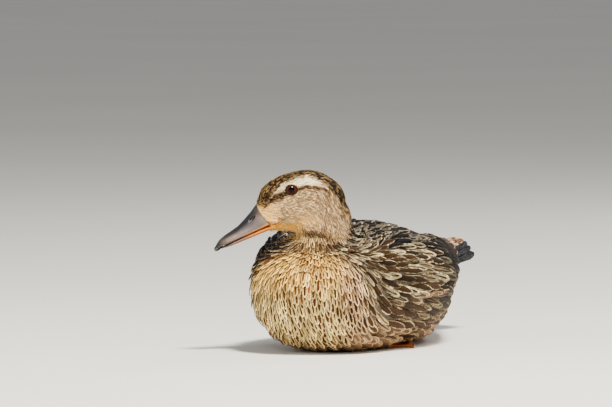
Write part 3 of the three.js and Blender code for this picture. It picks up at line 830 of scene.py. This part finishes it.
# -------------------- feather finishes
def feather_finish(name, barbs, roughness, bump=0.12, frayed=0.7, worn=0.0, streaky=0.0):
    """A pale rim round a darker middle, with an inner mark, a shaft and barbs.

    On a feather's own map u runs across and v along.
    """
    def build(w):
        def grain(detail, *spot):
            """Noise over a spot that is worked out from the map and the place on the bird."""
            at = w.node("ShaderNodeCombineXYZ", {}, dict(enumerate(spot)))
            return w.node("ShaderNodeTexNoise", {}, {"Vector": at, "Scale": 1.0, "Detail": detail})

        u, v, _ = w.node("ShaderNodeUVMap", {"uv_map": "feather"}).parts()
        px, _, pz = w.place().parts()
        rim, middle = w.attribute("rim_tint"), w.attribute("middle_tint")
        wide, reach, inner = w.attribute("marks", "Vector").parts()
        shaft = w.attribute("marks", "Alpha")
        side = abs(u * 2 - 1)
        slant = v - side * 0.16
        rough = grain(3, slant * barbs * 0.3, px * 90, pz * 90)
        run = grain(2, u * 7, v * 1.6, px * 160)
        barb = (slant * barbs).sine()
        edge = side + (rough - 0.5) * frayed + (u - 0.5) * (w.noise(0.06, 1) - 0.5) * (4 * worn)
        lateral, onward = edge / wide, v / reach
        far = lateral * lateral * lateral + onward ** 7
        inner_mark = (abs(far - 0.34) / 0.2).ramp(1.0, 0.3) * inner * v.ramp(0.3, 0.6)
        broken = (w.noise(0.22, 3).ramp(0.4, 0.58) * worn).mix(rim, middle.tint((1.5,) * 3))
        web = (rough.ramp(0.5, 0.78) * 0.4).mix(middle, middle.tint((1.8,) * 3))
        web = (run.ramp(0.52, 0.62) * inner * streaky).mix(web, rim)
        web = (run.ramp(0.46, 0.34) * streaky).mix(web, middle.tint((0.3,) * 3))
        colour = far.ramp(1.25, 0.75).mix(broken, web)
        colour = inner_mark.mix(colour, rim)
        colour = (side.ramp(0.1, 0.02) * shaft).mix(colour, tone(30, 20, 17))
        # painted shade darkens each vane towards its root, where the feather before covers it; the tip is
        # paler
        colour = colour.shade(v.ramp(0.75, 1.0) * 0.3 + v.ramp(0.1, 0.7) * 0.25 + 0.75)
        colour = colour.shade((barb * 0.05 + 1) * (w.noise(0.08, 2) * 0.4 + 0.8) * (rough * 0.5 + 0.75))
        relief = barb * 0.5 + side.ramp(0.12, 0.0) * 1.2 + rough * 0.6
        return dict(colour=colour, bump=relief, strength=0.5, depth=bump)
    return finish_of(name, build, roughness, **{"Specular IOR Level": 0.05})


SMALL_FEATHER = feather_finish("head_feather", 40, 0.66, bump=0.05)
BODY_FEATHER = feather_finish("body_feather", 120, 0.58)
SIDE_FEATHER = feather_finish("side_feather", 300, 0.55, frayed=0.6, worn=0.85, streaky=0.6)
QUILL_FEATHER = feather_finish("quill_feather", 420, 0.5, frayed=0.25)
TAIL_FEATHER = feather_finish("tail_feather", 420, 0.5, worn=1.0, streaky=0.8)


def skin_build(w):
    rim, middle = w.attribute("rim_tint"), w.attribute("middle_tint")
    streak = w.noise(0.7, 4)
    colour = streak.ramp(0.35, 0.65).mix(rim, middle)
    return dict(colour=colour.shade(w.noise(0.1, 2) * 0.3 + 0.7), bump=streak, strength=0.6, depth=0.5)


SKIN = finish_of("down_and_skin", skin_build, roughness=0.8)
rim_v, middle_v, _, _ = markings(p, skin_n)
# away from the head the skin takes mostly the darker middle: painted shade in the gaps between the feathers
rim_v = lerp(middle_v * 1.4 + 0.01, rim_v, 0.15 + 0.85 * np.maximum(head_share(p), 0.5 * breast_share(p)))
paint(skin.data, "rim_tint", rim_v)
paint(skin.data, "middle_tint", middle_v)
piece("skin", skin, SKIN)
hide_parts("trunk", "neck", "head")

# -------------------- coats
UP, DOWN, LEFT, RIGHT, BACK, AHEAD = (0, 0, 1), (0, 0, -1), (1, 0, 0), (-1, 0, 0), (0, 1, 0), (0, -1, 0)
ROUND_HEAD = dict(centre=from_head(np.array((0, 8.0, -12.0))), axis=-HEAD_AXES[1], top=UP, polar=True)
COATS = (
    ("face_feathers", SMALL_LEAF, SMALL_FEATHER, 0.003, "head_plumage", ROUND_HEAD),
    ("nape_feathers", SMALL_LEAF, SMALL_FEATHER, 0.003, "head_plumage", ROUND_HEAD),
    ("neck_feathers", SMALL_LEAF, SMALL_FEATHER, 0.004, "head_plumage",
     dict(centre=NECK_FOOT, axis=UP, top=-HEAD_AXES[1])),
    ("breast_feathers", WIDE_LEAF, BODY_FEATHER, 0.006, "plumage",
     dict(centre=(0, -100, 50), axis=AHEAD, top=UP, polar=True)),
    ("back_feathers", SIDE_LEAF, SIDE_FEATHER, 0.008, "dark_plumage",
     dict(centre=(0, 0, 30), axis=BACK, top=UP)),
    ("left_side_feathers", SIDE_LEAF, SIDE_FEATHER, 0.008, "plumage",
     dict(centre=(0, 0, 50), axis=BACK, top=LEFT)),
    ("right_side_feathers", SIDE_LEAF, SIDE_FEATHER, 0.008, "plumage",
     dict(centre=(0, 0, 50), axis=BACK, top=RIGHT)),
    ("belly_feathers", WIDE_LEAF, BODY_FEATHER, 0.008, "plumage",
     dict(centre=(0, 0, 60), axis=BACK, top=DOWN)),
)
_, back, up = to_head(roots).T
high = (on_head > 0.5) & (up > -36)
coat = np.full(count, "left_side_feathers")
for name, where in (("right_side_feathers", roots[:, 0] < 0),
                    ("back_feathers", (root_n[:, 2] > 0.62) & (roots[:, 1] > -85)),
                    ("belly_feathers", root_n[:, 2] < -0.45),
                    ("breast_feathers", on_breast > 0.5),
                    ("neck_feathers", on_head > 0.5),
                    ("nape_feathers", high & (back > 9)),
                    ("face_feathers", high & (back <= 9))):
    coat = np.where(where, name, coat)
for name, shape, material, patch, slot, chart in COATS:
    at = coat == name
    course = march(roots[at], root_n[at], flow[at], length[at], shape["stations"])
    sizes = [a[at] for a in (half, thick, root_height, tip_height)]
    tints = [a[at] for a in (rim_tint, middle_tint, marks)]
    vanes(name, shape, course, sizes, tints, unwrap(roots[at], **chart), patch, material)

# -------------------- long feathers of wing and tail
LONG_PATCH = 0.02
# the outer tail feathers are painted dark slate: painted shade of the tail's shaded underside
INNER_TAIL, OUTER_TAIL_PAINTED_SHADE = (tone(206, 166, 130), tone(54, 34, 25)), (tone(40, 39, 42), tone(6, 7, 10))
PRIMARY, TERTIAL = (tone(84, 72, 64), tone(24, 20, 22)), (tone(170, 140, 108), tone(34, 23, 19))


def columns(rows, *keys):
    """The values that the rows hold under each key."""
    return [np.array([r[key] for r in rows], float) for key in keys]


def straight_vanes(name, rows, material):
    """Long vanes that run straight from their roots, or droop."""
    st, count = LONG_LEAF["stations"], len(rows)
    at, to, up, length, droop, half = columns(rows, "at", "to", "up", "length", "droop", "half")
    to = unit(to)
    up = flat_to(up, to)
    spine = at[:, None] + to[:, None] * (length[:, None] * st)[..., None]
    spine = spine - up[:, None] * (droop[:, None] * st ** 2)[..., None]
    course = spine, np.repeat(up[:, None], len(st), 1), np.repeat(to[:, None], len(st), 1)
    size = half, np.full(count, 0.55), np.zeros(count), np.zeros(count)
    tints = columns(rows, "rim", "middle", "marks")
    bake = np.array([(0.05 + 0.9 * (i + 0.5) / count, 0.5) for i in range(count)])
    return vanes(name, LONG_LEAF, course, size, tints, bake, LONG_PATCH, material,
                 camber=0.14)


def laid_vanes(name, rows, material):
    """Long feathers that follow the skin."""
    at, to, length = columns(rows, "at", "to", "length")
    root, up = snap(at)
    course = march(root, up, flat_to(to, up), length, LONG_LEAF["stations"], follow=0.0, loose=6.0)
    size = columns(rows, "half", "thick", "root", "tip")
    tints = columns(rows, "rim", "middle", "marks")
    bake = unwrap(root, (0, 0, 50), BACK, UP)
    return vanes(name, LONG_LEAF, course, size, tints, bake, LONG_PATCH, material)


TAIL_ROOT, TAIL_RISE, TAIL_LENGTH, TAIL_HALF = np.array((0, 128, 71.5)), math.radians(4), 84, 8.5
TAIL_FAN, TAIL_LEAN = 2.4, 10  # degrees more for each feather out from the middle
tail_rows = []
for i in (4, 3, 2, 1, 0):
    for side in ((1, -1) if i else (1,)):
        fan, lean = math.radians(TAIL_FAN * i) * side, math.radians(TAIL_LEAN * i) * side
        # the outer feathers, lower in the fan, carry painted shade
        rim, middle = INNER_TAIL if i < 2 else OUTER_TAIL_PAINTED_SHADE
        tail_rows.append(dict(
            at=TAIL_ROOT + (2 * i * side, 0, 0.6 - 0.7 * i * i),
            to=(math.sin(fan), math.cos(fan) * math.cos(TAIL_RISE), math.sin(TAIL_RISE)),
            up=(math.sin(lean), 0, math.cos(lean)), length=TAIL_LENGTH - 2.6 * i, droop=0,
            half=TAIL_HALF - 0.3 * i, rim=rim, middle=middle, marks=(0.66, 0.92, 0.9, 0.5)))
tail = straight_vanes("tail_feathers", tail_rows, TAIL_FEATHER)

WING_TURN, WING_LEAN = math.radians(15), math.radians(32)
wing_rows = []
for _, side in SIDES:
    for i in range(5):
        wing_rows.append(dict(
            at=(side * (29 - 1.7 * i), 88 + 5.0 * i, 75.0 + 0.5 * i),
            to=(-side * math.sin(WING_TURN), math.cos(WING_TURN), 0.0),
            up=(math.sin(WING_LEAN * side), 0, math.cos(WING_LEAN * side)), length=80 - 1.0 * i, droop=-1.0,
            half=6.5, rim=PRIMARY[0], middle=PRIMARY[1], marks=(0.9, 0.98, 0.0, 0.6)))
primaries = straight_vanes("primary_feathers", wing_rows, QUILL_FEATHER)

tertial_rows = []
for _, side in SIDES:
    for i in range(6):  # long narrow feathers over the folded wing, the lowest first
        t = i / 5
        tertial_rows.append(dict(
            at=(side * (56 - 22 * t), 52 + 10 * t, 66 + 24 * t),
            to=(-side * (0.34 - 0.12 * t), 1, -0.02 - 0.12 * t), length=86 - 8 * t,
            half=7.4, thick=0.5, root=-0.2, tip=3.2 + 0.6 * i,
            rim=TERTIAL[0], middle=TERTIAL[1], marks=(0.93, 0.985, 0.0, 0.35)))
laid_vanes("tertial_feathers", tertial_rows, QUILL_FEATHER)
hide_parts("wing_left", "wing_right")
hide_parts("tail")


# -------------------- eyes
IRIS_MAP = 2 * EYE_RADIUS  # the width that the iris map covers


def eye_build(w):
    u, v, _ = w.node("ShaderNodeUVMap", {"uv_map": "iris"}).parts()
    across, upright = u - 0.5, v - 0.5
    r = (across * across + upright * upright) ** 0.5 * IRIS_MAP
    angle = w.math("ARCTAN2", upright, across)
    rays = (angle * 23 + w.noise(0.6, 2) * 5).sine()
    iris = (rays * 0.3 + 0.5).mix(tone(52, 19, 7), tone(86, 34, 12))
    iris = r.ramp(2.2, 3.6).mix(tone(36, 12, 5), iris)
    rim = r.ramp(3.9, 4.6).mix(iris, tone(14, 8, 6))
    return dict(colour=r.ramp(2.3, 2.1).mix(rim, tone(1, 1, 1)))


def lid_build(w):
    colour = w.noise(1.2, 3).mix(tone(18, 12, 9), tone(44, 31, 24))
    return dict(colour=colour, bump=w.noise(2.5, 3), strength=0.6, depth=0.15)


def eye_ball(side):
    """The ball with its iris map. The clear front bulges a little."""
    bm = bmesh.new()
    bmesh.ops.create_uvsphere(bm, u_segments=48, v_segments=32, radius=EYE_RADIUS)
    for v in bm.verts:
        v.co.z += 0.55 * float(ease(3.6, 0, math.hypot(v.co.x, v.co.y))) if v.co.z > 0 else 0
    layer = bm.loops.layers.uv.new("iris")
    for face in bm.faces:
        for loop in face.loops:
            loop[layer].uv = (0.5 + loop.vert.co.x / IRIS_MAP, 0.5 + loop.vert.co.y / IRIS_MAP)
    x, y, z = np.array([v.co for v in bm.verts]).T
    place_verts(bm, from_head(np.stack([side * (EYE_OUT + z), EYE_BACK + side * x, y], -1)))
    return bm


def lid_ring(side):
    """A soft rim round the opening, lying on the ball and drawn out a little at its two corners."""
    bm = bmesh.new()
    stand = Matrix.Translation((LID_HALF_LONG, 0, 0)) @ Matrix.Rotation(math.pi / 2, 4, "X")
    bmesh.ops.create_circle(bm, segments=10, radius=0.62, matrix=stand)
    bmesh.ops.spin(bm, geom=bm.verts[:] + bm.edges[:], cent=(0, 0, 0), axis=(0, 0, 1), dvec=(0, 0, 0),
                   angle=2 * math.pi, steps=56, use_merge=True, use_duplicate=False)
    bmesh.ops.remove_doubles(bm, verts=bm.verts, dist=1e-4)
    x, y, z = np.array([v.co for v in bm.verts]).T
    turn, tube = np.arctan2(y, x), np.hypot(x, y) - LID_HALF_LONG
    cos, sin = np.cos(turn), np.sin(turn)
    opening = LID_HALF_LONG * LID_HALF_HIGH / np.hypot(LID_HALF_HIGH * cos, LID_HALF_LONG * sin)
    r = opening * (1 + 0.05 * np.abs(cos) ** 8) + tube + 0.1
    out = ball_height(np.minimum(r, 5.7)) + z * 0.9 + 0.12
    place_verts(bm, from_head(np.stack([side * (EYE_OUT + out), EYE_BACK + side * (r * cos), r * sin], -1)))
    return bm


EYE = finish_of("eye", eye_build, 0.5, **{"Specular IOR Level": 0.0, "Coat Weight": 0.35,
                                     "Coat Roughness": 0.04, "Coat IOR": 1.34})
for name, side in SIDES:
    ball = piece("eye_ball_" + name, eye_ball(side), EYE)
    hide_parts("eye_" + name)
    lid = finish_of("lid_" + name, lid_build, 0.6, **{"Specular IOR Level": 0.1})
    piece("eyelids_" + name, lid_ring(side), lid)


# -------------------- bill
BILL_ROOF = ((0, 22), (9, 20.5), (17, 16.2), (24, 12.6), (35, 8.8), (49, 6.2), (57, 4.5))
NOSTRIL, NOSTRIL_LEVEL = 18, 10.8  # forward of the gape and above the mouth line
ORANGE, YELLOW = tone(204, 116, 0), tone(226, 154, 0)
BILL_SLATE, BILL_BLACK, BILL_PALE = tone(13, 13, 18), tone(6, 5, 5), tone(180, 144, 116)


def stained(wood, *stains):
    """Lays stains, each a tint and its share, over a colour in turn."""
    for tint, share in stains:
        wood = lerp(wood, tint, share)
    return wood


def bill_tint(m, lower):
    """Horn colours by the place along, across and above the mouth line, with painted shade along the mouth
    line and in the nostril.
    """
    f, level, side = -m[:, 1], m[:, 2], np.abs(m[:, 0])
    if lower:
        return stained(
            np.tile(ORANGE, (len(m), 1)),
            (YELLOW, ease(14, 2, f)),
            (tone(120, 84, 66), ease(18, 32, f)),
            (BILL_SLATE, 0.8 * ease(36, 50, f)),
            # painted shade on the lower bill's top edge, under the upper bill
            (tone(96, 48, 26), 0.6 * ease(-1.2, -0.4, level)))
    flank = ease(0.8, 0.42, level / line(BILL_ROOF, f)) * ease(-4, 6, f)
    nail = np.hypot(side / 3.8, (f - 54.2) / 5.2)
    hole = np.hypot((f - NOSTRIL - (level - NOSTRIL_LEVEL) * 0.35) / 3.6,
                    (level - NOSTRIL_LEVEL + (f - NOSTRIL) * 0.4) / 1.7)
    return stained(
        np.tile(BILL_SLATE, (len(m), 1)),
        (tone(88, 80, 78), 0.9 * flank * ease(56, 40, f)),
        (BILL_PALE, 0.75 * hump(f, 3, 7) * hump(level, 9, 6)),
        (BILL_PALE, 0.25 * hump(f, 38, 12) * hump(level, 3.4, 1.8)),
        (ORANGE, 0.95 * ease(1.9, 1.0, level - 1.6 * ease(20, 0, f)) * ease(36, 24, f)),
        (YELLOW, ease(9, 2, f) * ease(4.6, 2.6, level)),
        # painted shade along the upper bill's cutting edge
        (tone(92, 46, 28), 0.85 * hump(level, 0.7, 0.5) * ease(50, 40, f)),
        (tone(16, 12, 12), ease(45, 54, f) * 0.85),
        (BILL_BLACK, ease(1.25, 1.0, nail) * ease(-2, -1, level)),
        # painted shade: black inside the sunk nostril
        (BILL_BLACK, ease(1.15, 0.75, hole) * ease(3, 5, side)))


def bill_relief(n, m):
    """A groove and fringe above the cutting edge, a rimmed nostril, and the nail hooked down."""
    f, level, side = -m[:, 1], m[:, 2], np.abs(m[:, 0])
    groove = hump(level, 2.1, 0.45) * ease(2, 8, f) * ease(56, 50, f) * (side > 5)
    teeth = 0.5 + 0.5 * np.sin(f * 2 * math.pi / 1.25)
    fringe = hump(level, 0.75, 0.4) * ease(4, 10, f) * ease(50, 42, f) * teeth * (side > 5)
    hole = np.hypot((f - NOSTRIL) / 3.3, (level - NOSTRIL_LEVEL + (f - NOSTRIL) * 0.4) / 1.6)
    rim = hump(hole, 1.25, 0.25) * (side > 4)
    sink = ease(1.0, 0.5, hole) * (side > 4)
    hooked = from_mouth(m - np.stack([0 * f, 0 * f, NAIL_HOOK * ease(49, 58, f)], -1))
    return hooked - n * (0.28 * groove + 0.16 * fringe - 0.22 * rim + 1.3 * sink)[:, None]


def bill_build(w):
    blotch, fine = w.noise(0.35, 4), w.noise(2.2, 3)
    colour = w.attribute("horn").shade(blotch * 0.7 + 0.62)
    colour = (fine.ramp(0.58, 0.72) * 0.35).mix(colour, tone(60, 46, 46))
    relief = fine * 0.5 + blotch
    return dict(colour=colour, roughness=blotch * 0.3 + 0.26, bump=relief, strength=0.35, depth=0.25)


def gape_build(w):
    colour = w.attribute("horn").shade(w.noise(0.5, 3) * 0.4 + 0.8)
    return dict(colour=colour, bump=w.noise(1.5, 3), strength=0.4, depth=0.2)


def gape_corner(side):
    """A soft swelling that carries the mouth's corner back over the skin."""
    bm = bmesh.new()
    bmesh.ops.create_uvsphere(bm, u_segments=32, v_segments=16, radius=1)
    x, y, z = np.array([v.co for v in bm.verts]).T
    taper = 1 - 0.35 * (x < 0) * x ** 2
    m = np.stack([np.full(len(x), side * 12.0), GAPE_BACK - GAPE_LONG * 0.95 * x,
                  -GAPE_DROP + GAPE_HIGH * 0.95 * y * taper], -1)
    ground, norm = snap(from_mouth(m))
    crease = 0.5 * hump(y, 0, 0.16) * (x > -0.2)
    place_verts(bm, ground + norm * (z * 0.9 + 0.35 - crease)[:, None])
    return bm


BILL_VOXEL, BILL_SMOOTHING, NAIL_HOOK = 0.42, 5, 1.7
BILL = finish_of("bill_horn", bill_build, **{"Coat Weight": 0.25, "Coat Roughness": 0.3})
for name, node in (("bill_roof", "bill_upper"), ("bill_floor", "bill_lower")):
    made = remeshed(name, node_copy((node,)), BILL_VOXEL, BILL_SMOOTHING)
    q, lower = coords(made.data), node == "bill_lower"
    m = to_mouth(q)
    set_coords(made.data, q if lower else bill_relief(normals(made.data), m))
    paint(made.data, "horn", bill_tint(m, lower))
    piece(name, made, BILL)
    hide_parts(node)

GAPE_SKIN = finish_of("gape_skin", gape_build, 0.5, **{"Specular IOR Level": 0.15})
for name, side in SIDES:
    made = from_bmesh("gape_" + name, gape_corner(side))
    m = to_mouth(coords(made))
    f, level = -m[:, 1], m[:, 2]
    # painted shade along the mouth line where it runs into the corner's crease
    fold = hump(level, -0.5, 0.5) * ease(-1.6, 0.4, f)
    paint(made, "horn", stained(
        np.tile(tone(206, 124, 0), (len(m), 1)),
        (tone(206, 150, 84), ease(-0.3, 0.3, level)),
        (tone(52, 24, 16), 0.9 * fold)))
    piece("gape_" + name, made, GAPE_SKIN)


# -------------------- feet
def leg_build(w):
    cells = w.node("ShaderNodeTexVoronoi", {"feature": "DISTANCE_TO_EDGE"},
                   {"Vector": w.place(), "Scale": 850.0}, "Distance")
    cloud = w.noise(0.12, 3)
    colour = cloud.ramp(0.3, 0.7).mix(tone(206, 104, 34), tone(232, 138, 56))
    colour = cells.ramp(0.09, 0.0).mix(colour, tone(120, 56, 24))
    relief = cells.ramp(0.0, 0.12)
    return dict(colour=colour, roughness=cloud * 0.3 + 0.35, bump=relief, strength=0.6, depth=0.2)


def claw_build(w):
    grain = w.noise(0.9, 3)
    colour = grain.ramp(0.3, 0.7).mix(tone(24, 17, 14), tone(74, 56, 44))
    return dict(colour=colour, roughness=grain * 0.2 + 0.3, bump=grain, strength=0.3, depth=0.1)


LEG_VOXEL, LEG_SMOOTHING, LEG_FLOOR = 0.7, 2, 0.02
LEG = finish_of("leg_scales", leg_build)
for node in ("foot_left", "foot_right", "leg_left", "leg_right"):
    made = remeshed(node + "_skin", node_copy((node,)), LEG_VOXEL, LEG_SMOOTHING)
    q = coords(made.data)
    q[:, 2] = np.maximum(q[:, 2], LEG_FLOOR)
    set_coords(made.data, q)
    piece(node + "_skin", made, LEG)
    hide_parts(node)

HEEL, FOOT_TURN, CLAW_LENGTH, CLAW_RADIUS, CLAW_FLOOR = np.array((28.0, 22.0, 0)), 7, 7.2, 1.35, 0.05
TOES = ((36, -24), (46, 0), (43, 24))  # length, and degrees from the middle toe


def claws(side):
    """A tapered, arched ball at the end of each toe."""
    bm = bmesh.new()
    for length, angle in TOES:
        turn = math.radians(angle + FOOT_TURN)
        along = np.array((side * math.sin(turn), -math.cos(turn), 0))
        across = np.array((-along[1], along[0], 0))
        for v in bmesh.ops.create_uvsphere(bm, u_segments=12, v_segments=14, radius=1)["verts"]:
            t, ring = (v.co.z + 1) / 2, math.sqrt(max(1 - v.co.z ** 2, 1e-6))
            girth = CLAW_RADIUS * math.sqrt(min(1, 6 * t)) * (1 - t) ** 0.7 / ring
            spot = HEEL * (side, 1, 1) + along * (length - 0.9 + CLAW_LENGTH * t) + across * v.co.x * girth
            height = 1.75 - 1.2 * t * t + 0.5 * math.sin(math.pi * t) + v.co.y * girth
            v.co = Vector((spot + (0, 0, height)) * MM)
            v.co.z = max(v.co.z, CLAW_FLOOR * MM)
    bmesh.ops.recalc_face_normals(bm, faces=bm.faces)
    return bm


CLAW = finish_of("claw_horn", claw_build)
for name, side in SIDES:
    piece("claws_" + name, claws(side), CLAW)


# -------------------- floor and lights
def floor_build(w):
    return dict(colour=w.noise(0.002, 3).mix(tone(226, 224, 218), tone(236, 234, 228)))


FLOOR_RADIUS_METRES = 40
bm = bmesh.new()
bmesh.ops.create_circle(bm, segments=64, radius=FLOOR_RADIUS_METRES, cap_ends=True)
floor = add_object("floor", from_bmesh("floor", bm))
floor.data.materials.append(finish_of("floor_paint", floor_build, 0.85))


def lamp(name, place, size, power, colour):
    """A square light that faces the bird. Its place and size are in metres."""
    light = bpy.data.lights.new(name, "AREA")
    light.energy, light.size, light.color = power, size, colour
    obj = add_object(name, light)
    obj.location = place
    obj.rotation_mode = "QUATERNION"
    obj.rotation_quaternion = (Vector((0, -0.02, 0.08)) - Vector(place)).to_track_quat("-Z", "Y")
    obj.visible_camera = False


lamp("key", (0.9, -0.9, 2.1), 0.45, 168, (1.0, 0.94, 0.82))
lamp("fill", (-1.9, -1.6, 1.0), 1.6, 13, (0.98, 0.98, 0.98))
lamp("catch", (0.65, -2.17, 0.8), 0.3, 14, (1.0, 0.98, 0.94))
lamp("rim", (0.6, 2.0, 1.5), 1.0, 22, (1.0, 0.98, 0.95))
world = bpy.data.worlds.new("studio")
bpy.context.scene.world = world
world.use_nodes = True
sky = world.node_tree.nodes["Background"].inputs
sky["Color"].default_value = (0.86, 0.87, 0.88, 1)
sky["Strength"].default_value = 0.4
